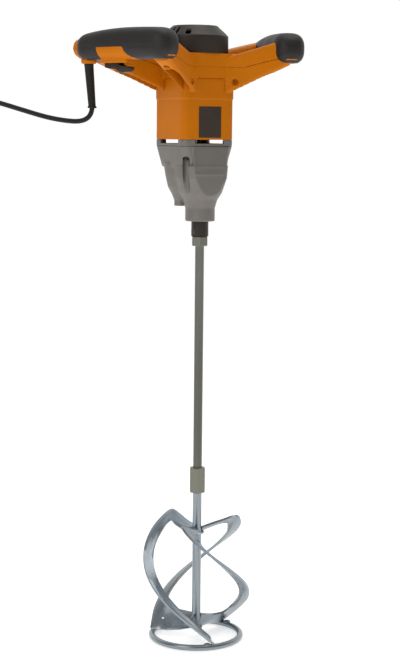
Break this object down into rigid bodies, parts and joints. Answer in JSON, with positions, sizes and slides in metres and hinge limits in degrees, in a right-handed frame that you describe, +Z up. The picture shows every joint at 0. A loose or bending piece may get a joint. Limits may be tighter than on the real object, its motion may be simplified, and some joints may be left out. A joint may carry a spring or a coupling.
{
  "type": "drill paint mixer",
  "caption": "Hand-held two-handled power mixer: square motor housing, gearbox and spindle with a twisted-blade stirrer on a foot ring.",
  "frame": {"origin": "on the floor under the spindle axis, which is the middle of the foot ring", "axes": "+Z up along the spindle, -Y the front with the label plate, -X the handle with the switch and the mains lead"},
  "size_m": [0.5535, 0.3147, 0.902],
  "materials": {
    "gearbox_paint": "satin cast aluminium paint",
    "orange_plastic": "fine moulded texture",
    "black_plastic": "fine moulded texture",
    "soft_grip": "fine pebbled overmould",
    "label": "printed film",
    "zinc_steel": "bright zinc plated",
    "black_steel": "black oxide",
    "steel": "ground",
    "copper": "enamelled copper",
    "carbon": "carbon",
    "cord_rubber": "smooth rubber sheath",
    "board": "circuit board",
    "brass": "plug pins"
  },
  "bodies": {
    "housing": {"gearbox_casting": "gearbox_paint", "bearing_plate": "gearbox_paint", "gear_plate": "steel", "gearbox_screws": "steel", "motor_housing": "orange_plastic", "handle_lower_shell": "orange_plastic", "handle_upper_shell": "orange_plastic", "handle_screws": "steel", "grip_rubber_left": "soft_grip", "grip_rubber_right": "soft_grip", "top_cap": "black_plastic", "cap_screws": "steel", "label_plate": "label", "end_bracket": "black_plastic", "stator_core": "steel", "stator_windings": "copper", "brush_holders": "brass", "carbon_brushes": "carbon", "motor_top_bearing": "steel", "motor_bottom_bearing": "steel", "layshaft_top_bush": "brass", "layshaft_bottom_bush": "brass", "spindle_top_bearing": "steel", "spindle_bottom_bearing": "steel", "oil_seal": "cord_rubber", "switch_module": "black_plastic", "speed_board": "board", "trigger_pin": "steel", "cord_socket": "orange_plastic", "strain_relief": "cord_rubber", "cord_tube": "cord_rubber", "cord_coil": "cord_rubber", "plug_body": "cord_rubber", "plug_pins": "brass"},
    "spindle": {"spindle": "black_steel", "output_gear": "steel", "spindle_circlip": "steel", "upper_shaft": "zinc_steel", "coupling_nut": "zinc_steel", "lower_shaft": "zinc_steel", "blade_1": "zinc_steel", "blade_2": "zinc_steel", "blade_3": "zinc_steel", "foot_ring": "zinc_steel"},
    "layshaft": {"layshaft": "steel", "first_gear": "steel"},
    "armature": {"armature_shaft": "steel", "armature_core": "steel", "commutator": "copper", "cooling_fan": "black_plastic"},
    "trigger": {"trigger": "black_plastic"},
    "lock_button": {"lock_button": "black_plastic"},
    "speed_dial": {"speed_dial": "black_plastic"}
  },
  "joints": [
    {"name": "spindle_spin", "type": "hinge", "parent": "housing", "child": "spindle", "pos_m": [0, 0, 0.64], "axis": [0, 0, 1], "continuous": true},
    {"name": "layshaft_spin", "type": "hinge", "parent": "housing", "child": "layshaft", "pos_m": [-0.01697, 0.02698, 0.69], "axis": [0, 0, 1], "continuous": true},
    {"name": "armature_spin", "type": "hinge", "parent": "housing", "child": "armature", "pos_m": [0, 0.018, 0.78], "axis": [0, 0, 1], "continuous": true},
    {"name": "trigger_pull", "type": "hinge", "parent": "housing", "child": "trigger", "pos_m": [-0.13717, 0.02292, 0.853], "axis": [-0.9416, -0.3368, 0], "range_deg": [0, 6], "stiffness_Nm_per_rad": 2, "springref_deg": -11.46},
    {"name": "lock_button_press", "type": "slide", "parent": "housing", "child": "lock_button", "axis": [-0.9416, -0.3368, 0], "range_m": [0, 0.003], "stiffness_N_per_m": 400, "springref_m": -0.002},
    {"name": "speed_dial_turn", "type": "hinge", "parent": "housing", "child": "speed_dial", "pos_m": [-0.15641, 0.07672, 0.867], "axis": [-0.3368, 0.9416, 0], "range_deg": [-135, 135]}
  ],
  "couplings": [
    {"joint": "layshaft_spin", "follows": "spindle_spin", "ratio": -2.9231},
    {"joint": "armature_spin", "follows": "spindle_spin", "ratio": 17.121}
  ]
}
